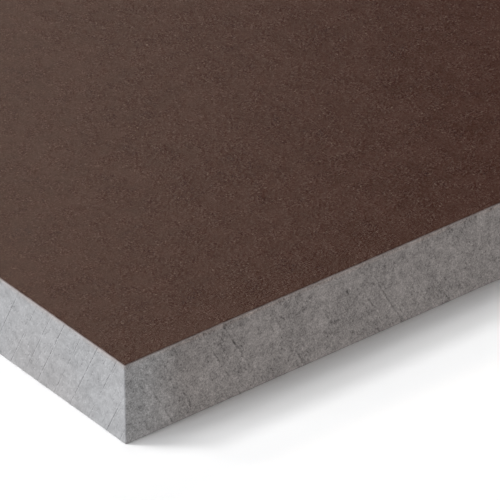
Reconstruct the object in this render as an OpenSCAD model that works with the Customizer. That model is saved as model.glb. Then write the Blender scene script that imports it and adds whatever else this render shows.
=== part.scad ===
// Fibre cement facade panel: one flat, full-size sheet with a factory colour coat on its face.
// The sheet lies on its back. The origin is the centre of the back, +X runs along the length,
// +Y across the width and +Z out through the coated face. All sizes are in millimetres.

/* [Sheet] */
// Length of the sheet between its two short sawn edges
sheet_length = 2500; // [600:10:3100]
// Width of the sheet between its two long sawn edges
sheet_width = 1250; // [300:10:1500]
// Thickness of the grey fibre cement board under the coat
board_thickness = 7.9; // [5.9:0.1:15.9]
// Thickness of the colour coat on the face
coat_thickness = 0.1; // [0.05:0.05:0.4]

/* [Edges] */
// Radius that sanding leaves on the four upright corners
corner_radius = 0.15; // [0.05:0.05:5]
// Width and depth of the broken arris round the coated face
face_arris = 0.12; // [0.05:0.01:1]
// Width and depth of the broken arris round the back
back_arris = 0.05; // [0.02:0.01:1]

/* [Hidden] */
sheet_thickness = board_thickness + coat_thickness;
board_grey = "#B2B2B4";
coat_brown = "#56433C";
round_fn = 48;

// Plan outline of the sheet: a rectangle whose corners are arcs.
module plan_outline() {
    inner_length = sheet_length - 2 * corner_radius;
    inner_width = sheet_width - 2 * corner_radius;
    square([sheet_length, inner_width], center = true);
    square([inner_length, sheet_width], center = true);
    for (side_x = [-1, 1], side_y = [-1, 1])
        translate([side_x * inner_length / 2, side_y * inner_width / 2])
            circle(r = corner_radius, $fn = round_fn);
}

// Cross-section of a sheet that is `span` wide, with the arrises broken at the back and the face.
module cross_section(span) {
    half = span / 2;
    polygon([
        [-half + back_arris, 0],
        [half - back_arris, 0],
        [half, back_arris],
        [half, sheet_thickness - face_arris],
        [half - face_arris, sheet_thickness],
        [-half + face_arris, sheet_thickness],
        [-half, sheet_thickness - face_arris],
        [-half, back_arris]
    ]);
}

// The whole sheet as it comes off the saw and the edge sander: what its plan and both of its
// cross-sections have in common.
module sheet_envelope() {
    intersection() {
        linear_extrude(sheet_thickness) plan_outline();
        rotate([90, 0, 0])
            linear_extrude(sheet_width, center = true) cross_section(sheet_length);
        rotate([90, 0, 90])
            linear_extrude(sheet_length, center = true) cross_section(sheet_width);
    }
}

// The part of the sheet from height `low` to height `high`.
module sheet_slice(low, high) {
    intersection() {
        sheet_envelope();
        translate([-sheet_length / 2, -sheet_width / 2, low])
            cube([sheet_length, sheet_width, high - low]);
    }
}

// One piece of stock: the grey board and the coat baked on to it are one solid, in two colours.
module panel() {
    color(board_grey) sheet_slice(0, board_thickness);
    color(coat_brown) sheet_slice(board_thickness, sheet_thickness);
}

panel();
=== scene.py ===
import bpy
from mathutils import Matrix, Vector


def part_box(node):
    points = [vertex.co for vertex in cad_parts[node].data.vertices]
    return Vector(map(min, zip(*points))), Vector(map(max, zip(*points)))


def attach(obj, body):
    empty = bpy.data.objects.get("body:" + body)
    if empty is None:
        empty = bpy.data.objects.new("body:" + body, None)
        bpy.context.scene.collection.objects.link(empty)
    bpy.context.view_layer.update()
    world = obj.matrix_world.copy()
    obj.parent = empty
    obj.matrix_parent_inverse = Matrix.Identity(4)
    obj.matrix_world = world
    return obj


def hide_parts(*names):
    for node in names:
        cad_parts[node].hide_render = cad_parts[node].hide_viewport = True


bl_info = {
    "name": "Fibre Cement Facade Panel",
    "version": (1, 0, 0),
    "blender": (4, 5, 0),
    "location": "3D View > Sidebar > Facade Panel",
    "description": "Dresses a coated fibre cement sheet: sawn edges, plain back and matt colour coat",
    "category": "Object",
}

import math

import bpy
import numpy as np
from mathutils import Matrix, Vector

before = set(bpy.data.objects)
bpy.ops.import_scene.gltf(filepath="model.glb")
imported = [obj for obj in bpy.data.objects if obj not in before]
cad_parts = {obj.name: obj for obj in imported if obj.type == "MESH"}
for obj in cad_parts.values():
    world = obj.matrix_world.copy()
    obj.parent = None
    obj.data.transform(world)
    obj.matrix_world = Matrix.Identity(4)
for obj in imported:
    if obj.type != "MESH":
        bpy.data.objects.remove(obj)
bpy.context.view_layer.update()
sheet_low, sheet_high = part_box("panel")

MM = 0.001
UP = (0.0, 0.0, 1.0)
COARSE = 50 * MM  # spacing of the vertices where a flat face needs no detail
RIM = 2 * MM  # a flat face's own vertices start this far inside the rim
WELD = 0.001 * MM
ARC_STEPS = 3  # faces on each half of a round corner
FACE_STEPS = 7  # faces up a sawn edge, from the back's arris to the coat
FIRST_SAWN = 2  # the lowest row of a sawn side's grid that lies on the sawn face
LAST_SAWN = FIRST_SAWN + FACE_STEPS
SPARE_MARKS = 3  # saw marks past each end of a side, because the marks lean into it
LONG_SIDE_DEPTH = 0.4  # the saw marks of the long sides are this much shallower
SAW_FADE = 0.6 * MM  # the saw's relief fades out over this distance from a corner
CHIP_FADE = 1.0 * MM  # and the coat's chips over this one
FILM_STEP = 0.6 * MM  # spacing of the vertices along the coat's rim
SIDE_GAP = 20 * MM  # keeps the runs of neighbouring sides apart
FILM_SETBACK = 0.02 * MM  # the coat's underside stands this far back from the board's edge
STAIN = (0.2 * MM, 0.6 * MM)  # the coat's colour has seeped into the edge this far under the face
SEED_STEP = 7919.5  # keeps the random draws of neighbouring seeds apart
FLOOR_BOUNCE = 0.1  # how pale the floor is for the light that it throws back on the sheet
FLOOR_GAP = 0.01 * MM  # the floor lies this far under the sheet


# Properties ---------------------------------------------------------------------------------------


def length_property(name, description, default):
    return bpy.props.FloatProperty(
        name=name,
        description=description,
        default=default,
        precision=6,
        unit="LENGTH",
        subtype="DISTANCE",
    )


def colour_property(name, description, default):
    return bpy.props.FloatVectorProperty(
        name=name,
        description=description,
        default=default,
        size=3,
        min=0.0,
        max=1.0,
        subtype="COLOR",
    )


class PanelSheet(bpy.types.PropertyGroup):
    """The sheet's own sizes. Its outline comes from the frame."""

    length: length_property(
        "Length", "Sheet length along X", sheet_high.x - sheet_low.x
    )
    width: length_property("Width", "Sheet width along Y", sheet_high.y - sheet_low.y)
    thickness: length_property(
        "Thickness", "Board and coat together", sheet_high.z - sheet_low.z
    )
    coat: length_property(
        "Coat", "Thickness of the colour coat on the face", 0.1 * MM
    )
    corner_radius: length_property(
        "Corner radius", "Radius of the four upright corners", 0.15 * MM
    )
    face_arris: length_property(
        "Face arris", "How far the coat's top edge stands back", 0.12 * MM
    )
    back_arris: length_property(
        "Back arris", "Width of the broken edge round the back", 0.05 * MM
    )


class PanelSawCut(bpy.types.PropertyGroup):
    """What the saw leaves on the four edges."""

    pitch: length_property("Mark pitch", "Mean distance between saw marks", 2.3 * MM)
    lean: bpy.props.FloatProperty(
        name="Lean",
        description="How far a mark runs along the edge for each unit of depth",
        default=0.53,
    )
    depth: length_property("Mark depth", "Depth of the deepest saw mark", 0.016 * MM)
    half_width: length_property(
        "Mark half width", "From a mark's middle to its shoulder", 0.06 * MM
    )
    tilt: length_property(
        "Facet tilt", "How far a facet between two marks is out of plane", 0.015 * MM
    )
    chip: length_property("Chip depth", "Depth of the deepest chip in the coat", 0.16 * MM)
    seed: bpy.props.IntProperty(
        name="Seed", description="Picks the places of the marks", default=6
    )


class PanelFinish(bpy.types.PropertyGroup):
    """The colours of the coat and the board."""

    coat_colour: colour_property(
        "Coat colour", "Matt brown of the face", (0.0450, 0.0157, 0.0100)
    )
    board_colour: colour_property(
        "Board colour", "Grey of the sawn fibre cement", (0.4945, 0.4945, 0.5025)
    )
    back_colour: colour_property(
        "Back colour", "Grey of the uncoated back", (0.43, 0.425, 0.42)
    )


class PanelStudio(bpy.types.PropertyGroup):
    """Light, floor and camera."""

    ambient: bpy.props.FloatProperty(
        name="Ambient", description="Light from all round, where 1 is white", default=0.1
    )
    azimuth: bpy.props.FloatProperty(
        name="Camera azimuth",
        description="0 looks along +Y",
        default=math.radians(-38.4504),
        subtype="ANGLE",
    )
    elevation: bpy.props.FloatProperty(
        name="Camera elevation",
        description="Angle of the view above the horizon",
        default=math.radians(32.0967),
        subtype="ANGLE",
    )
    roll: bpy.props.FloatProperty(
        name="Camera roll",
        description="Turn round the line of sight",
        default=math.radians(-0.1953),
        subtype="ANGLE",
    )
    distance: length_property("Camera distance", "From the aim point", 0.49575)
    aim_x: length_property("Aim along X", "From the sheet's low corner", 19.599 * MM)
    aim_y: length_property("Aim along Y", "From the sheet's low corner", 7.691 * MM)
    lens: bpy.props.FloatProperty(
        name="Lens",
        description="Focal length for a 36 mm sensor",
        default=411.844,
        unit="CAMERA",
    )
    floor_size: length_property("Floor size", "Side of the square floor", 400.0)


# Soft far lights: name, azimuth from +X, elevation and size in degrees, what each adds on the face
# where 1 is white, and colour.
LIGHTS = (
    ("high_behind", 129, 64, 19, 0.222, (1.0, 1.0, 1.0)),
    ("key", 136.5, 46, 10, 0.222, (1.0, 1.0, 1.0)),
    ("low_behind", 126, 27, 6, 0.036, (1.0, 1.0, 1.0)),
    ("left", 162, 20, 19, 0.104, (0.98, 0.99, 1.015)),
    ("left_grazing", 176, 22, 8, 0.107, (0.98, 0.99, 1.015)),
    ("low_front", 290, 5, 10, 0.0287, (1.0, 0.97, 0.955)),
    ("overhead", 26, 81, 34, 0.175, (1.0, 1.0, 1.0)),
    ("sheen", 56, 32.5, 9, 0.109, (1.02, 0.847, 0.70)),
)

GROUPS = {
    "panel_sheet": PanelSheet,
    "panel_saw_cut": PanelSawCut,
    "panel_finish": PanelFinish,
    "panel_studio": PanelStudio,
}


# Node trees ---------------------------------------------------------------------------------------


class Value:
    """A socket in a node tree. Arithmetic on it adds the Math nodes that do the same."""

    def __init__(self, tree, socket):
        self.tree = tree
        self.socket = socket

    def __add__(self, other):
        return self.tree.math("ADD", self, other)

    def __sub__(self, other):
        return self.tree.math("SUBTRACT", self, other)

    def __rsub__(self, other):
        return self.tree.math("SUBTRACT", other, self)

    def __mul__(self, other):
        return self.tree.math("MULTIPLY", self, other)

    def __truediv__(self, other):
        return self.tree.math("DIVIDE", self, other)

    def __neg__(self):
        return self.tree.math("MULTIPLY", self, -1.0)

    def __abs__(self):
        return self.tree.math("ABSOLUTE", self)

    __radd__ = __add__
    __rmul__ = __mul__


class Outputs:
    """A node's output sockets, by name or number, as values."""

    def __init__(self, tree, node):
        self.tree = tree
        self.node = node

    def __getitem__(self, key):
        return Value(self.tree, self.node.outputs[key])


class Tree:
    """Adds nodes to a shader tree or a geometry tree."""

    def __init__(self, tree):
        self.tree = tree

    def node(self, kind, settings=None, sockets=None):
        """A new node of this kind. Its settings are made first, then its sockets."""
        made = self.tree.nodes.new(kind)
        for name, value in (settings or {}).items():
            if name == "items":
                while len(made.index_switch_items) < value:
                    made.index_switch_items.new()
            else:
                setattr(made, name, value)
        for name, value in (sockets or {}).items():
            self.feed(made.inputs[name], value)
        return Outputs(self, made)

    def feed(self, socket, value):
        if isinstance(value, (list, tuple)) and value and isinstance(value[0], Value):
            for one in value:
                self.tree.links.new(one.socket, socket)
        elif isinstance(value, Value):
            self.tree.links.new(value.socket, socket)
        else:
            socket.default_value = value

    def math(self, operation, *values):
        settings = {"operation": operation}
        return self.node("ShaderNodeMath", settings, dict(enumerate(values)))[0]

    def vector(self, operation, *values):
        settings = {"operation": operation}
        return self.node("ShaderNodeVectorMath", settings, dict(enumerate(values)))[0]

    def stretch(self, vector, amount):
        """The vector times a number that may itself be a value."""
        settings = {"operation": "SCALE"}
        return self.node("ShaderNodeVectorMath", settings, {0: vector, "Scale": amount})[0]

    def xyz(self, x, y, z):
        return self.node("ShaderNodeCombineXYZ", None, {"X": x, "Y": y, "Z": z})[0]

    def clamp(self, value, low, high):
        return self.math("MINIMUM", self.math("MAXIMUM", value, low), high)

    def ramp(self, value, start, end):
        """0 below start, 1 above end, smooth between them."""
        settings = {"interpolation_type": "SMOOTHSTEP"}
        sockets = {"Value": value, "From Min": start, "From Max": end}
        return self.node("ShaderNodeMapRange", settings, sockets)[0]

    def noise(self, spot, grain, detail=2.0, roughness=0.5):
        """Noise from 0 to 1 whose blobs are about one grain across."""
        sockets = {
            "Vector": spot,
            "Scale": 1.0 / grain,
            "Detail": detail,
            "Roughness": roughness,
        }
        return self.node("ShaderNodeTexNoise", None, sockets)[0]

    def chance(self, number):
        """A random number from 0 to 1 that depends only on this one."""
        settings = {"noise_dimensions": "1D"}
        return self.node("ShaderNodeTexWhiteNoise", settings, {"W": number})["Value"]


# Saw marks ----------------------------------------------------------------------------------------

# The geometry and the edge's material share these, so a groove and its dark line, of dust and painted
# shade, fall together.


def draw(tree, number, seed, channel):
    """A random number from 0 to 1 for this mark. Each channel draws its own."""
    return tree.chance(number + (seed * SEED_STEP + channel))


def mark_place(tree, number, pitch, seed):
    """Where along the rim a mark starts, from its number."""
    return (number + 0.3 + 0.4 * draw(tree, number, seed, 0.0)) * pitch


def mark_force(tree, number, seed):
    """How hard a mark cut, from 0 to 1. Few marks cut hard."""
    return 0.5 + 0.5 * tree.ramp(draw(tree, number, seed, 0.25), 0.1, 1.0)


def mark_breaks(tree, run, rise):
    """1 where a mark is whole and 0 where it has broken off."""
    spot = tree.xyz(run * 0.4, rise, 0.0)
    return tree.ramp(tree.noise(spot, 1.1 * MM, 1.0), 0.30, 0.50)


# Geometry of the board ----------------------------------------------------------------------------

LENGTH = "NodeSocketFloat"
SIDE_SOCKETS = (
    ("Side Length", LENGTH),
    ("Reach", LENGTH),
    ("Along", "NodeSocketVector"),
    ("Run Start", LENGTH),
    ("Lean", LENGTH),
    ("Coarseness", LENGTH),
)
BOARD_SOCKETS = (
    ("Corner Radius", LENGTH),
    ("Board Thickness", LENGTH),
    ("Back Arris", LENGTH),
    ("Mark Pitch", LENGTH),
    ("Mark Depth", LENGTH),
    ("Mark Half Width", LENGTH),
    ("Facet Tilt", LENGTH),
    ("Seed", LENGTH),
)
FILM_SOCKETS = (
    ("Corner Radius", LENGTH),
    ("Board Thickness", LENGTH),
    ("Coat Thickness", LENGTH),
    ("Face Arris", LENGTH),
    ("Chip Depth", LENGTH),
)
SHEET_SOCKETS = (("Sheet Length", LENGTH), ("Sheet Width", LENGTH))
MATERIAL_SOCKET = "NodeSocketMaterial"


def new_group(name, sockets):
    """An empty geometry node group with these inputs and one geometry output."""
    group = bpy.data.node_groups.new(name, "GeometryNodeTree")
    for label, kind in sockets:
        group.interface.new_socket(label, in_out="INPUT", socket_type=kind)
    group.interface.new_socket(
        "Geometry", in_out="OUTPUT", socket_type="NodeSocketGeometry"
    )
    return group


def pick(tree, index, values):
    """The value with this index."""
    settings = {"data_type": "FLOAT", "items": len(values)}
    sockets = {"Index": index}
    sockets.update({str(number): value for number, value in enumerate(values)})
    return tree.node("GeometryNodeIndexSwitch", settings, sockets)[0]


def choose(tree, switch, one, other):
    """One value where the switch is on, and the other where it is off."""
    sockets = {"Switch": switch, "False": other, "True": one}
    return tree.node("GeometryNodeSwitch", {"input_type": "FLOAT"}, sockets)[0]


def grid(tree, columns, rows):
    """A grid's geometry, and each vertex's column and row."""
    sockets = {"Vertices X": columns, "Vertices Y": rows}
    made = tree.node("GeometryNodeMeshGrid", None, sockets)["Mesh"]
    index = tree.node("GeometryNodeInputIndex")[0]
    column = tree.math("FLOOR", (index + 0.5) / rows)
    return made, column, index - column * rows


def set_position(tree, geometry, position):
    sockets = {"Geometry": geometry, "Position": position}
    return tree.node("GeometryNodeSetPosition", None, sockets)[0]


def store(tree, geometry, name, value, domain):
    settings = {"data_type": "FLOAT", "domain": domain}
    sockets = {"Geometry": geometry, "Name": name, "Value": value}
    return tree.node("GeometryNodeStoreNamedAttribute", settings, sockets)[0]


def keep(tree, geometry, value):
    """The geometry with a value kept on its vertices, and the value as it was kept."""
    capture = tree.tree.nodes.new("GeometryNodeCaptureAttribute")
    capture.capture_items.new("FLOAT", "Kept")
    tree.feed(capture.inputs["Geometry"], geometry)
    tree.feed(capture.inputs["Kept"], value)
    outputs = Outputs(tree, capture)
    return outputs["Geometry"], outputs["Kept"]


def join(tree, parts):
    return tree.node("GeometryNodeJoinGeometry", None, {"Geometry": parts})[0]


def weld(tree, geometry):
    """Merges the vertices that meet, and leaves no instances."""
    sockets = {"Geometry": geometry, "Distance": WELD}
    made = tree.node("GeometryNodeMergeByDistance", None, sockets)[0]
    return tree.node("GeometryNodeRealizeInstances", None, {"Geometry": made})[0]


def set_material(tree, geometry, material, chosen=True):
    sockets = {"Geometry": geometry, "Selection": chosen, "Material": material}
    return tree.node("GeometryNodeSetMaterial", None, sockets)[0]


def output(tree, geometry):
    tree.node("NodeGroupOutput", None, {"Geometry": geometry})


class Side:
    """One side of the sheet inside a node group: where a point along it, in from it and up it lies."""

    def __init__(self, tree, inputs):
        self.tree = tree
        self.along = inputs["Along"]
        self.out = tree.vector("CROSS_PRODUCT", inputs["Along"], UP)
        self.half = inputs["Side Length"] * 0.5
        self.reach = inputs["Reach"]
        self.radius = inputs["Corner Radius"]

    def flat_end(self, inset):
        """How far from the side's middle its straight part ends, on a ring this far inside."""
        return self.half - self.tree.math("MAXIMUM", self.radius, inset)

    def point(self, along, outwards, height):
        flat = self.tree.vector(
            "ADD",
            self.tree.stretch(self.along, along),
            self.tree.stretch(self.out, outwards),
        )
        return self.tree.vector("ADD", flat, self.tree.xyz(0.0, 0.0, height))

    def straight(self, along, inset, height):
        return self.point(along, self.reach - inset, height)

    def round_end(self, end, turn, inset, height):
        """A point on half a round corner, at the end -1 or 1 of the side."""
        tree = self.tree
        cut = tree.math("MAXIMUM", self.radius, inset)
        radius = tree.math("MAXIMUM", self.radius - inset, 0.0)
        along = (self.half - cut) * end + radius * tree.math("SINE", turn)
        outwards = self.reach - cut + radius * tree.math("COSINE", turn)
        return self.point(along, outwards, height)


def coarse_step(tree, half):
    """How many coarse steps fit in half a side, and how long each is."""
    count = tree.math("CEIL", half / COARSE)
    return count, half / count


def snap(tree, along, half, limit):
    """A place moved to the nearest coarse step, and no further than the limit."""
    step = coarse_step(tree, half)[1]
    stepped = tree.math("ROUND", along / step) * step
    return tree.clamp(stepped, -limit, limit)


def sawn_section(inputs):
    """The rows of a sawn side from the back to under the coat: each row's inset and height."""
    arris = inputs["Back Arris"]
    top = inputs["Board Thickness"]
    insets = [RIM, arris] + [0.0] * (FACE_STEPS + 1) + [RIM]
    climb = [
        arris + (top - arris) * (step / FACE_STEPS) for step in range(FACE_STEPS + 1)
    ]
    return insets, [0.0, 0.0] + climb + [top]


def saw_relief(tree, inputs, number, part, run, rise):
    """How far the sawn face lies inside the plane of the edge."""
    seed = inputs["Seed"]
    base = draw(tree, number, seed, 0.5) * 0.5
    tilt = draw(tree, number, seed, 0.75) - 0.5
    facet = (base + pick(tree, part, [0.0, -tilt, tilt]) + 0.5) * inputs["Facet Tilt"]
    force = mark_force(tree, number, seed) * mark_breaks(tree, run, rise)
    groove = pick(tree, part, [force, 0.0, 0.0]) * inputs["Mark Depth"]
    return facet + groove


def stored_run(side, inputs, along, height):
    """Distance round the rim of the saw mark through this point, where that mark meets the coat."""
    drop = inputs["Board Thickness"] - height
    return inputs["Run Start"] + side.half + along - inputs["Lean"] * drop


def finish_strip(tree, inputs, geometry, row, run):
    """Marks the sawn faces and keeps the run on the corners of the faces."""
    geometry = store(tree, geometry, "saw_run", run, "CORNER")
    geometry = store(tree, geometry, "coarseness", inputs["Coarseness"], "FACE")
    on_face = tree.node(
        "GeometryNodeFieldOnDomain",
        {"data_type": "FLOAT", "domain": "FACE"},
        {"Value": row},
    )[0]
    above = tree.math("GREATER_THAN", on_face, FIRST_SAWN - 1)
    below = tree.math("LESS_THAN", on_face, LAST_SAWN)
    return store(tree, geometry, "sawn", above * below, "FACE")


def sawn_straight(tree, inputs, side):
    """The straight part of a sawn side. Its columns follow the saw marks and end at the corners."""
    insets, heights = sawn_section(inputs)
    rows = len(insets)
    pitch = inputs["Mark Pitch"]
    marks = tree.math("CEIL", inputs["Side Length"] / pitch) + 2 * SPARE_MARKS
    mesh, column, row = grid(tree, marks * 3, rows)
    first = tree.math("FLOOR", inputs["Run Start"] / pitch) - SPARE_MARKS
    group = tree.math("FLOOR", (column + 0.5) / 3)
    number = first + group
    part = column - group * 3
    here = mark_place(tree, number, pitch, inputs["Seed"])
    after = mark_place(tree, number + 1, pitch, inputs["Seed"])
    shoulder = inputs["Mark Half Width"]
    start = pick(tree, part, [here, here + shoulder, after - shoulder])
    height = pick(tree, row, heights)
    inset = pick(tree, row, insets)
    lean = inputs["Lean"] * (inputs["Board Thickness"] - height)
    limit = side.flat_end(inset)
    along = start - inputs["Run Start"] - side.half + lean
    along = tree.clamp(along, -limit, limit)
    fine = tree.math("COMPARE", row, (FIRST_SAWN + LAST_SAWN) / 2, FACE_STEPS / 2 + 0.1)
    away = tree.ramp(limit - abs(along), 0.0, SAW_FADE) * fine
    run = stored_run(side, inputs, along, height)
    relief = saw_relief(tree, inputs, number, part, run, height) * away
    wear = tree.noise(tree.xyz(run, 0.0, 0.0), 1.5 * MM) - 0.5
    low_row = tree.math("COMPARE", row, FIRST_SAWN, 0.1)
    worn = height + wear * away * low_row * inputs["Back Arris"]
    settled = choose(tree, fine, along, snap(tree, along, side.half, limit))
    run = stored_run(side, inputs, settled, worn)
    mesh, row = keep(tree, mesh, row)
    mesh, run = keep(tree, mesh, run)
    mesh = set_position(tree, mesh, side.straight(settled, inset + relief, worn))
    return finish_strip(tree, inputs, mesh, row, run)


def round_part(tree, end, insets, heights):
    """Half a round corner at one end of a side: its mesh, rows and angles."""
    mesh, column, row = grid(tree, ARC_STEPS + 1, len(insets))
    start = 0.0 if end > 0 else -math.pi / 4
    turn = column * (math.pi / 4 / ARC_STEPS) + start
    inset = pick(tree, row, insets)
    height = pick(tree, row, heights)
    return mesh, row, turn, inset, height


def sawn_corner(tree, inputs, side, end):
    """Half a round corner of the sawn board."""
    insets, heights = sawn_section(inputs)
    mesh, row, turn, inset, height = round_part(tree, end, insets, heights)
    along = side.flat_end(0.0) * end + turn * side.radius
    run = stored_run(side, inputs, along, height)
    mesh, row = keep(tree, mesh, row)
    mesh, run = keep(tree, mesh, run)
    mesh = set_position(tree, mesh, side.round_end(end, turn, inset, height))
    return finish_strip(tree, inputs, mesh, row, run)


def sawn_side_group():
    group = new_group("sawn_side", SIDE_SOCKETS + BOARD_SOCKETS)
    tree = Tree(group)
    inputs = tree.node("NodeGroupInput")
    side = Side(tree, inputs)
    parts = [sawn_straight(tree, inputs, side)]
    parts += [sawn_corner(tree, inputs, side, end) for end in (-1, 1)]
    output(tree, join(tree, parts))
    return group


def film_section(inputs):
    """The rows of the coat's rim from its underside to its face: insets and heights."""
    low = inputs["Board Thickness"]
    coat = inputs["Coat Thickness"]
    arris = inputs["Face Arris"]
    insets = [RIM, FILM_SETBACK, arris * 0.3, arris, RIM]
    heights = [low, low, low + coat * 0.6, low + coat, low + coat]
    return insets, heights


def coat_chips(tree, inputs, run):
    """How far the coat's rim has chipped back from the edge."""
    spot = tree.xyz(run, 0.0, 3.0)
    ragged = tree.noise(spot, 1.2 * MM, 2.0) * 0.2
    chipped = tree.ramp(tree.noise(spot, 5.0 * MM, 2.0), 0.64, 0.74) * 0.8
    return (ragged + chipped) * inputs["Chip Depth"]


def film_straight(tree, inputs, side):
    """The straight part of one side of the coat's rim, with its chips."""
    insets, heights = film_section(inputs)
    flat = side.flat_end(0.0)
    steps = tree.math("CEIL", flat * 2 / FILM_STEP)
    mesh, column, row = grid(tree, steps + 1, len(insets))
    height = pick(tree, row, heights)
    inset = pick(tree, row, insets)
    limit = side.flat_end(inset)
    along = (column / steps - 0.5) * 2 * flat
    fine = tree.math("COMPARE", row, 2.0, 1.1)
    away = tree.ramp(limit - abs(along), 0.0, CHIP_FADE) * fine
    chips = coat_chips(tree, inputs, inputs["Run Start"] + side.half + along) * away
    settled = choose(tree, fine, along, snap(tree, along, side.half, limit))
    return set_position(tree, mesh, side.straight(settled, inset + chips, height))


def film_corner(tree, inputs, side, end):
    insets, heights = film_section(inputs)
    mesh, _, turn, inset, height = round_part(tree, end, insets, heights)
    return set_position(tree, mesh, side.round_end(end, turn, inset, height))


def film_side_group():
    group = new_group("film_side", SIDE_SOCKETS + FILM_SOCKETS)
    tree = Tree(group)
    inputs = tree.node("NodeGroupInput")
    side = Side(tree, inputs)
    parts = [film_straight(tree, inputs, side)]
    parts += [film_corner(tree, inputs, side, end) for end in (-1, 1)]
    output(tree, join(tree, parts))
    return group


def flat_face(tree, inputs, height, faces_up):
    """The plain middle of a flat face, whose border meets the rims' coarse rows."""
    halves = [inputs[name] * 0.5 for name, _ in SHEET_SOCKETS]
    (columns, wide), (rows, deep) = [coarse_step(tree, half) for half in halves]
    mesh, column, row = grid(tree, columns * 2 + 1, rows * 2 + 1)
    spots = [
        tree.clamp((number - count) * step, -(half - RIM), half - RIM)
        for number, count, step, half in (
            (column, columns, wide, halves[0]),
            (row, rows, deep, halves[1]),
        )
    ]
    mesh = set_position(tree, mesh, tree.xyz(spots[0], spots[1], height))
    if not faces_up:
        mesh = tree.node("GeometryNodeFlipFaces", None, {"Mesh": mesh})[0]
    return mesh


def four_sides(tree, group, inputs, shared):
    """The group's four sides, in order round the sheet. Opposite sides were cut in one pass."""
    length, width = inputs["Sheet Length"], inputs["Sheet Width"]
    plan = (
        (length, width, (1.0, 0.0, 0.0), 0.0, 1.0),
        (width, length, (0.0, 1.0, 0.0), length + SIDE_GAP, 1.0),
        (length, width, (-1.0, 0.0, 0.0), length + width + 2 * SIDE_GAP, -1.0),
        (width, length, (0.0, -1.0, 0.0), length * 2 + width + 3 * SIDE_GAP, -1.0),
    )
    lean = inputs["Lean"] if "Lean" in shared else 0.0
    parts = []
    for own, across, along, start, sense in plan:
        sockets = {name: inputs[name] for name in shared if name != "Lean"}
        sockets["Side Length"] = own
        sockets["Reach"] = across * 0.5
        sockets["Along"] = along
        sockets["Run Start"] = start
        sockets["Lean"] = lean * sense
        sockets["Coarseness"] = 1.0 if along[0] else 0.0
        if along[0] and "Mark Depth" in sockets:
            sockets["Mark Depth"] = inputs["Mark Depth"] * LONG_SIDE_DEPTH
        made = tree.node("GeometryNodeGroup", {"node_tree": group}, sockets)
        parts.append(made["Geometry"])
    return parts


def board_tree():
    """The closed board: four sawn sides, the back, and the face under the coat."""
    names = SHEET_SOCKETS + (("Lean", LENGTH),) + BOARD_SOCKETS
    materials = (("Sawn Material", MATERIAL_SOCKET), ("Back Material", MATERIAL_SOCKET))
    group = new_group("cement_board", names + materials)
    tree = Tree(group)
    inputs = tree.node("NodeGroupInput")
    shared = [name for name, _ in BOARD_SOCKETS] + ["Lean"]
    parts = four_sides(tree, sawn_side_group(), inputs, shared)
    parts.append(flat_face(tree, inputs, 0.0, False))
    parts.append(flat_face(tree, inputs, inputs["Board Thickness"], True))
    made = set_material(tree, weld(tree, join(tree, parts)), inputs["Back Material"])
    sawn = tree.node(
        "GeometryNodeInputNamedAttribute", {"data_type": "FLOAT"}, {"Name": "sawn"}
    )[0]
    chosen = tree.math("GREATER_THAN", sawn, 0.5)
    output(tree, set_material(tree, made, inputs["Sawn Material"], chosen))
    return group


def film_tree():
    """The closed film of colour on the board's face."""
    names = SHEET_SOCKETS + FILM_SOCKETS + (("Coat Material", MATERIAL_SOCKET),)
    group = new_group("face_coat", names)
    tree = Tree(group)
    inputs = tree.node("NodeGroupInput")
    shared = [name for name, _ in FILM_SOCKETS]
    parts = four_sides(tree, film_side_group(), inputs, shared)
    top = inputs["Board Thickness"] + inputs["Coat Thickness"]
    parts.append(flat_face(tree, inputs, inputs["Board Thickness"], False))
    parts.append(flat_face(tree, inputs, top, True))
    made = weld(tree, join(tree, parts))
    output(tree, set_material(tree, made, inputs["Coat Material"]))
    return group


def mesh_from_tree(name, group, values):
    """Runs a node group on an empty mesh, with its inputs set by name, and returns the plain result."""
    holder = bpy.data.objects.new(name + "_tree", bpy.data.meshes.new(name + "_tree"))
    bpy.context.scene.collection.objects.link(holder)
    modifier = holder.modifiers.new("nodes", "NODES")
    modifier.node_group = group
    for item in group.interface.items_tree:
        if item.item_type == "SOCKET" and item.in_out == "INPUT":
            modifier[item.identifier] = values[item.name]
    depsgraph = bpy.context.evaluated_depsgraph_get()
    mesh = bpy.data.meshes.new_from_object(
        holder.evaluated_get(depsgraph), depsgraph=depsgraph
    )
    bpy.data.objects.remove(holder)
    mesh.name = name
    return mesh


def add_piece(name, mesh, crease):
    """Links a finished mesh as a piece that rides on the sheet and stands for it."""
    mesh.shade_smooth()
    mesh.set_sharp_from_angle(angle=math.radians(crease))
    piece = bpy.data.objects.new(name, mesh)
    bpy.context.scene.collection.objects.link(piece)
    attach(piece, "root")
    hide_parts("panel")


# Materials ----------------------------------------------------------------------------------------


def new_material(name):
    """A material with only its output, and its tree."""
    material = bpy.data.materials.new(name)
    material.use_nodes = True
    material.node_tree.nodes.clear()
    return material, Tree(material.node_tree)


def surface(tree, colour, roughness, height, relief, specular):
    """The shader, its bump and the output. Relief is the bump's depth in metres."""
    sockets = {"Strength": 1.0, "Distance": relief, "Height": height}
    bump = tree.node("ShaderNodeBump", None, sockets)[0]
    sockets = {
        "Base Color": colour,
        "Roughness": roughness,
        "Specular IOR Level": specular,
        "Normal": bump,
    }
    shader = tree.node("ShaderNodeBsdfPrincipled", None, sockets)[0]
    tree.node("ShaderNodeOutputMaterial", None, {"Surface": shader})


def object_place(tree):
    return tree.node("ShaderNodeTexCoord")["Object"]


def mixed(tree, factor, one, other):
    """A colour between two others."""
    settings = {"data_type": "RGBA"}
    return tree.node("ShaderNodeMix", settings, {0: factor, 6: one, 7: other})[2]


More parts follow.
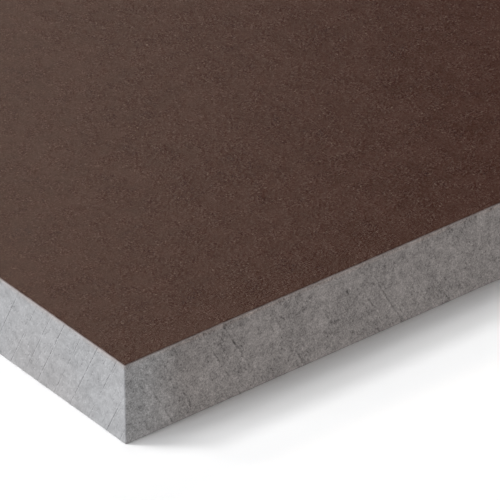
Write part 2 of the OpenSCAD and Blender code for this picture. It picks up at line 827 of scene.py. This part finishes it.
def mark_lines(tree, run, rise, cut):
    """1 in the middle of a saw mark's line and 0 away from it. The edge is darkened there, as dust and
    painted shade in the groove.
    """
    base = tree.math("FLOOR", run / cut.pitch)
    dust_and_shade_lines = None
    for step in (-1, 0, 1):
        number = base + step
        gap = abs(run - mark_place(tree, number, cut.pitch, cut.seed))
        line = 1 - tree.ramp(gap, 0.2 * cut.half_width, 1.5 * cut.half_width)
        line = line * mark_force(tree, number, cut.seed)
        dust_and_shade_lines = line if dust_and_shade_lines is None else tree.math("MAXIMUM", dust_and_shade_lines, line)
    dashes = tree.ramp(tree.noise(tree.xyz(run, rise, 5.0), 0.30 * MM, 1.0), 0.34, 0.52)
    return dust_and_shade_lines * mark_breaks(tree, run, rise) * dashes


def scores(tree, run, rise, cut):
    """1 in the few long scratches that a worn tooth leaves on a coarse side."""
    number = tree.math("FLOOR", run / cut.pitch)
    wander = (tree.noise(tree.xyz(run * 0.4, rise, 30.0), 1.3 * MM, 1.0) - 0.5) * 0.5 * MM
    gap = abs(run + wander - mark_place(tree, number, cut.pitch, cut.seed))
    line = 1 - tree.ramp(gap, 0.0, 3.2 * cut.half_width)
    drawn = draw(tree, number, cut.seed, 0.4)
    spot = tree.xyz(run * 0.4, rise, 20.0)
    length = tree.ramp(tree.noise(spot, 2.0 * MM, 2.0), 0.44, 0.60)
    return line * tree.ramp(drawn, 0.35, 0.7) * length


def sawn_material(scene):
    """Sawn fibre cement: grey grain, pits, fibres, streaks of the saw, thin dark lines of dust and
    painted shade in its grooves, scratches with painted shade and a painted highlight on their lip, and
    a paler, cooler grey painted as light at the near corner.
    """
    cut = scene.panel_saw_cut
    material, tree = new_material("sawn_fibre_cement")
    spot = object_place(tree)
    run = tree.node("ShaderNodeAttribute", {"attribute_name": "saw_run"})["Fac"]
    coarse_side = tree.node("ShaderNodeAttribute", {"attribute_name": "coarseness"})["Fac"]
    rise = tree.node("ShaderNodeSeparateXYZ", None, {"Vector": spot})["Z"]
    elsewhere = tree.vector("ADD", spot, (7.0, 4.0, 10.0))
    grain = tree.noise(spot, 0.22 * MM, 1.0) - 0.5
    grit = tree.noise(spot, 0.12 * MM, 1.0) - 0.5
    lumps = tree.noise(spot, 0.55 * MM, 1.0) - 0.5
    smudges = tree.noise(elsewhere, 1.0 * MM, 2.0) - 0.5
    bands = tree.noise(tree.xyz(run, rise * 0.2, 9.0), 1.6 * MM, 2.0) - 0.5
    mottle = tree.noise(spot, 2.6 * MM, 3.0) - 0.5
    # Clouding of the board's grey. Its noise is placed so that the near corner gets the paler, cooler
    # end: painted light spilling round that corner.
    cloud = tree.ramp(tree.noise(elsewhere, 28 * MM, 2.0), 0.42, 0.64)
    along_cut = tree.xyz(run * 3.5, rise, 0.0)
    strokes = tree.ramp(tree.noise(along_cut, 0.9 * MM, 2.0), 0.54, 0.70)
    fibres = tree.ramp(tree.noise(tree.vector("ADD", along_cut, UP), 0.7 * MM, 1.0), 0.64, 0.76)
    patches = tree.ramp(tree.noise(spot, 3.0 * MM, 2.0), 0.48, 0.64)
    # Thin dark lines in the grooves of the saw marks, of dust and painted shade.
    dust_and_shade_lines = mark_lines(tree, run, rise, cut) * (1.0 - coarse_side * 0.7)
    # Scratches on the long sides: darkened as painted shade, with a painted highlight on a lip just
    # beside each.
    shaded_scratches = scores(tree, run, rise, cut) * coarse_side
    lip_highlight = scores(tree, run + 0.2 * MM, rise, cut) * coarse_side
    pits = tree.ramp(tree.noise(spot, 0.30 * MM, 1.0), 0.66, 0.76)
    specks = tree.ramp(tree.noise(elsewhere, 0.26 * MM, 1.0), 0.66, 0.78)
    rough = 0.34 + coarse_side * 0.63
    tone = (
        1.0
        + grain * rough * 0.85
        + grit * coarse_side * 1.2
        + bands * (0.11 + coarse_side * 0.15)
        + lumps * (0.35 + coarse_side * 0.17)
        + smudges * (0.34 + coarse_side * 0.29)
        + mottle * (0.30 + coarse_side * 0.15)
        + fibres * rough * 0.24
        + specks * (0.22 + coarse_side * 0.08)
        # Painted highlight on the lip beside each scratch.
        + lip_highlight * 0.14
        # The paler end of the clouding is also lighter on the long sides: more painted light at the
        # near corner.
        + (1.0 - cloud) * coarse_side * 0.06
        - strokes * (0.1 + patches * 0.9) * rough * 0.36
        - patches * rough * 0.05
        - pits * rough * 0.20
        # Darkened in the grooves of the saw marks: dust, and painted shade.
        - dust_and_shade_lines * 0.19
        # Painted shade in the scratches.
        - shaded_scratches * 0.22
    )
    # Mix of the cool grey, painted as light at the near corner, and a warmer, darker grey away from it.
    cool = (*scene.panel_finish.board_colour, 1.0)
    clouded_grey_and_corner_light = mixed(tree, cloud, cool, (0.452, 0.420, 0.410, 1.0))
    seep = tree.ramp(tree.noise(tree.xyz(run, 0.0, 40.0), 5 * MM, 2.0), 0.35, 0.65)
    near_face = tree.ramp(rise, sheet_high.z - STAIN[1], sheet_high.z - STAIN[0])
    stain = near_face * (0.4 + seep * 0.6)
    tint = mixed(tree, stain, (1.0, 1.0, 1.0, 1.0), (1.06, 0.98, 0.94, 1.0))
    colour = tree.stretch(tree.vector("MULTIPLY", clouded_grey_and_corner_light, tint), tone)
    height = grain + lumps - strokes * 0.5 - pits - dust_and_shade_lines - shaded_scratches
    height = height * (0.75 + coarse_side * 0.25)
    surface(tree, colour, 0.82 + mottle * 0.2, height, 0.03 * MM, 0.1)
    return material


def back_material(scene):
    """The uncoated back: grey, with clouding and the faint lengthwise streaks of sanding."""
    material, tree = new_material("plain_fibre_cement")
    spot = object_place(tree)
    grain = tree.noise(spot, 0.3 * MM, 3.0, 0.6)
    mottle = tree.noise(spot, 6 * MM, 3.0)
    cloud = tree.noise(spot, 220 * MM, 3.0)
    along = tree.node(
        "ShaderNodeMapping", None, {"Vector": spot, "Scale": (0.02, 1.0, 1.0)}
    )[0]
    sanding = tree.noise(along, 1.2 * MM, 3.0, 0.6)
    tone = (
        1.0
        + (grain - 0.5) * 0.20
        + (mottle - 0.5) * 0.10
        + (cloud - 0.5) * 0.16
        + (sanding - 0.5) * 0.10
    )
    colour = tree.stretch(scene.panel_finish.back_colour[:], tone)
    height = grain * 0.6 + sanding * 0.4
    surface(tree, colour, 0.85 + (mottle - 0.5) * 0.15, height, 0.03 * MM, 0.1)
    return material


def coat_material(scene):
    """The matt colour coat: fine grain, pale specks that are partly painted glints, faint clouding, and
    a rim worn back to grey.
    """
    finish = scene.panel_finish
    material, tree = new_material("matt_colour_coat")
    spot = object_place(tree)
    fine = tree.noise(spot, 0.16 * MM, 1.0) - 0.5
    grain = tree.noise(spot, 0.34 * MM, 1.0) - 0.5
    lumps = tree.noise(spot, 0.6 * MM, 1.0) - 0.5
    orange_peel = tree.noise(spot, 0.28 * MM, 1.0)
    patches = tree.ramp(tree.noise(spot, 1.6 * MM, 2.0), 0.35, 0.65)
    specks = tree.ramp(tree.noise(tree.vector("ADD", spot, UP), 0.25 * MM, 1.0), 0.60, 0.76)
    mottle = tree.noise(spot, 3.0 * MM, 2.0) - 0.5
    cloud = tree.noise(spot, 300 * MM, 3.0) - 0.5
    tone = 0.80 + lumps * 0.15 + mottle * 0.12 + cloud * 0.12
    body = tree.stretch(finish.coat_colour[:], tone)
    grit = (fine * 1.17 + grain * 0.45) * (0.5 + patches * 0.8)
    grit = tree.math("MAXIMUM", grit, grit * 0.5) + lumps * 0.09 + mottle * 0.2
    grit = tree.stretch((0.10, 0.0735, 0.0665), grit)
    colour = tree.vector("MAXIMUM", tree.vector("ADD", body, grit), (0.004, 0.003, 0.003))
    # Pale specks of pigment that also stand in for painted glints of the sheen on the coat's grain.
    pale = specks * (0.08 + patches * 0.25)
    colour = mixed(tree, pale, colour, (0.24, 0.18, 0.14, 1.0))
    rise = tree.node("ShaderNodeSeparateXYZ", None, {"Vector": spot})["Z"]
    below = sheet_high.z - rise
    turned = tree.ramp(below, 0.0, 0.015 * MM)
    colour = mixed(tree, turned * 0.7, colour, (0.026, 0.022, 0.021, 1.0))
    worn = tree.ramp(below + lumps * 0.03 * MM, 0.012 * MM, 0.045 * MM)
    colour = mixed(tree, worn * 0.45, colour, (0.54, 0.455, 0.43, 1.0))
    height = (fine * 0.5 + orange_peel + lumps * 0.3) * (0.5 + patches * 0.8)
    surface(tree, colour, 0.25 + mottle * 0.04, height, 0.016 * MM, 0.01)
    return material


def shows_white(tree):
    """1 for the rays that show the background: the camera's, and those off metal or in glass."""
    path = tree.node("ShaderNodeLightPath")
    seen = tree.math("MAXIMUM", path["Is Camera Ray"], path["Is Glossy Ray"])
    return tree.math("MAXIMUM", seen, path["Is Transmission Ray"])


def floor_material():
    """White floor that keeps the sheet's shadow, and lights the sheet less than it shows."""
    material, tree = new_material("studio_floor")
    seen = shows_white(tree)
    dim = (FLOOR_BOUNCE, FLOOR_BOUNCE, FLOOR_BOUNCE, 1.0)
    colour = mixed(tree, seen, dim, (1.0, 1.0, 1.0, 1.0))
    sockets = {"Base Color": colour, "Roughness": 1.0, "Specular IOR Level": 0.0}
    shader = tree.node("ShaderNodeBsdfPrincipled", None, sockets)[0]
    tree.node("ShaderNodeOutputMaterial", None, {"Surface": shader})
    return material


# Bake layout --------------------------------------------------------------------------------------


def lay_out_bake(mesh, length, width):
    """Lays the board out for baking: the sawn rim in stacked strips, the flat faces beside them."""
    strip = 0.30  # metres of rim in one row of the layout
    row_height = 0.0295
    edge_scale = 3.2  # share of the layout for each metre up the edge
    margin, border = 0.012, 0.004
    shrink = 0.1  # the face under the coat is hidden, so it gets little room
    counts = np.zeros(len(mesh.polygons), np.int32)
    mesh.polygons.foreach_get("loop_total", counts)
    face = np.repeat(np.arange(len(counts)), counts)
    vertex = np.zeros(len(mesh.loops), np.int32)
    mesh.loops.foreach_get("vertex_index", vertex)
    spots = np.zeros(len(mesh.vertices) * 3, np.float32)
    mesh.vertices.foreach_get("co", spots)
    spots = spots.reshape(-1, 3)[vertex].astype(np.float64)
    run = np.zeros(len(mesh.loops), np.float32)
    mesh.attributes["saw_run"].data.foreach_get("value", run)
    sawn = np.zeros(len(mesh.polygons), np.float32)
    mesh.attributes["sawn"].data.foreach_get("value", sawn)
    sawn = sawn[face] > 0.5
    top = ~sawn & (spots[:, 2] > sheet_low.z + 1 * MM)
    middle = np.bincount(face, run) / counts
    number = np.floor((middle + 0.01) / strip)[face]
    used = number.max() + 1
    uv = np.zeros((len(vertex), 2))
    uv[:, 0] = margin + (run + 0.01 - number * strip) / strip * (1 - 2 * margin)
    uv[:, 0] = uv[:, 0].clip(border / 2, 1 - border / 2)
    uv[:, 1] = number * row_height + border / 4 + spots[:, 2] * edge_scale
    flat_low = used * row_height + border
    scale = (1 - flat_low - border) / width
    back = ~sawn & ~top
    centred = spots[:, :2] + np.array([length, width]) / 2
    uv[back] = centred[back] * scale + (border, flat_low)
    beside = margin + length * scale
    uv[top] = centred[top] * scale * shrink + (beside, flat_low)
    layer = mesh.uv_layers.new(name="OFBake")
    layer.uv.foreach_set("vector", uv.astype(np.float32).ravel())


# Operators ----------------------------------------------------------------------------------------


class FACADE_OT_cement_board(bpy.types.Operator):
    """Make the grey board with its sawn edges"""

    bl_idname = "facade.cement_board"
    bl_label = "Cement Board"

    def execute(self, context):
        scene = context.scene
        sheet, cut = scene.panel_sheet, scene.panel_saw_cut
        values = {
            "Sheet Length": sheet.length,
            "Sheet Width": sheet.width,
            "Lean": cut.lean,
            "Corner Radius": sheet.corner_radius,
            "Board Thickness": sheet.thickness - sheet.coat,
            "Back Arris": sheet.back_arris,
            "Mark Pitch": cut.pitch,
            "Mark Depth": cut.depth,
            "Mark Half Width": cut.half_width,
            "Facet Tilt": cut.tilt,
            "Seed": float(cut.seed),
            "Sawn Material": sawn_material(scene),
            "Back Material": back_material(scene),
        }
        mesh = mesh_from_tree("board", board_tree(), values)
        lay_out_bake(mesh, sheet.length, sheet.width)
        add_piece("board", mesh, 3)
        return {"FINISHED"}


class FACADE_OT_face_coat(bpy.types.Operator):
    """Make the film of colour on the board's face"""

    bl_idname = "facade.face_coat"
    bl_label = "Face Coat"

    def execute(self, context):
        scene = context.scene
        sheet, cut = scene.panel_sheet, scene.panel_saw_cut
        values = {
            "Sheet Length": sheet.length,
            "Sheet Width": sheet.width,
            "Corner Radius": sheet.corner_radius,
            "Board Thickness": sheet.thickness - sheet.coat,
            "Coat Thickness": sheet.coat,
            "Face Arris": sheet.face_arris,
            "Chip Depth": cut.chip,
            "Coat Material": coat_material(scene),
        }
        mesh = mesh_from_tree("face_coat", film_tree(), values)
        add_piece("face_coat", mesh, 22)
        return {"FINISHED"}


def add_floor(studio):
    half = studio.floor_size / 2
    low = sheet_low.z - FLOOR_GAP
    corners = [(-half, -half, low), (half, -half, low), (half, half, low), (-half, half, low)]
    mesh = bpy.data.meshes.new("studio_floor")
    mesh.from_pydata(corners, [], [(0, 1, 2, 3)])
    mesh.materials.append(floor_material())
    floor = bpy.data.objects.new("studio_floor", mesh)
    bpy.context.scene.collection.objects.link(floor)


def add_world(studio):
    """Plain white to look at, and a plain dimmer light on everything."""
    world = bpy.data.worlds.new("studio_world")
    bpy.context.scene.world = world
    world.use_nodes = True
    world.node_tree.nodes.clear()
    tree = Tree(world.node_tree)
    seen = shows_white(tree)
    strength = studio.ambient + seen * (1 - studio.ambient)
    sockets = {"Color": (1.0, 1.0, 1.0, 1.0), "Strength": strength}
    background = tree.node("ShaderNodeBackground", None, sockets)[0]
    tree.node("ShaderNodeOutputWorld", None, {"Surface": background})


def add_light(name, azimuth, elevation, size, share, colour):
    """A far, soft light that is as strong all over the sheet."""
    azimuth, elevation = math.radians(azimuth), math.radians(elevation)
    light = bpy.data.lights.new(name, "SUN")
    light.energy = share * math.pi / math.sin(elevation)
    light.angle = math.radians(size)
    light.color = colour
    lamp = bpy.data.objects.new(name, light)
    bpy.context.scene.collection.objects.link(lamp)
    towards = Vector(
        (
            math.cos(azimuth) * math.cos(elevation),
            math.sin(azimuth) * math.cos(elevation),
            math.sin(elevation),
        )
    )
    lamp.rotation_mode = "QUATERNION"
    lamp.rotation_quaternion = towards.to_track_quat("Z", "Y")
    lamp.location = towards * 5.0


def add_camera(studio):
    """A long lens over the sheet's low corner."""
    azimuth, elevation = studio.azimuth, studio.elevation
    back = Vector(
        (
            math.sin(azimuth) * math.cos(elevation),
            -math.cos(azimuth) * math.cos(elevation),
            math.sin(elevation),
        )
    )
    right = Vector((math.cos(azimuth), math.sin(azimuth), 0.0))
    up = back.cross(right)
    turn = Matrix((right, up, back)).transposed() @ Matrix.Rotation(studio.roll, 3, "Z")
    aim = Vector((sheet_low.x + studio.aim_x, sheet_low.y + studio.aim_y, sheet_high.z))
    data = bpy.data.cameras.new("camera")
    data.sensor_width = 36.0
    data.lens = studio.lens
    data.clip_start = 0.01
    data.clip_end = studio.floor_size
    camera = bpy.data.objects.new("camera", data)
    bpy.context.scene.collection.objects.link(camera)
    camera.rotation_mode = "QUATERNION"
    camera.rotation_quaternion = turn.to_quaternion()
    camera.location = aim + back * studio.distance
    bpy.context.scene.camera = camera


class FACADE_OT_studio(bpy.types.Operator):
    """Make the floor, the lights and the camera"""

    bl_idname = "facade.studio"
    bl_label = "Studio"

    def execute(self, context):
        scene = context.scene
        studio = scene.panel_studio
        add_camera(studio)
        add_floor(studio)
        add_world(studio)
        for light in LIGHTS:
            add_light(*light)
        scene.view_settings.view_transform = "Standard"
        return {"FINISHED"}


class FACADE_PT_panel(bpy.types.Panel):
    """The sheet's sizes, finish and studio, and the steps that make them"""

    bl_idname = "FACADE_PT_panel"
    bl_label = "Facade Panel"
    bl_space_type = "VIEW_3D"
    bl_region_type = "UI"
    bl_category = "Facade Panel"

    def draw(self, context):
        for operator in OPERATORS:
            self.layout.operator(operator.bl_idname)
        for name, group in GROUPS.items():
            box = self.layout.box()
            for entry in group.__annotations__:
                box.prop(getattr(context.scene, name), entry)


OPERATORS = (FACADE_OT_studio, FACADE_OT_cement_board, FACADE_OT_face_coat)
CLASSES = (*GROUPS.values(), *OPERATORS, FACADE_PT_panel)


def register():
    for made in CLASSES:
        bpy.utils.register_class(made)
    for name, group in GROUPS.items():
        setattr(bpy.types.Scene, name, bpy.props.PointerProperty(type=group))


def unregister():
    for name in GROUPS:
        delattr(bpy.types.Scene, name)
    for made in reversed(CLASSES):
        bpy.utils.unregister_class(made)


def main():
    register()
    bpy.ops.facade.studio()
    bpy.ops.facade.cement_board()
    bpy.ops.facade.face_coat()


if __name__ == "__main__":
    main()
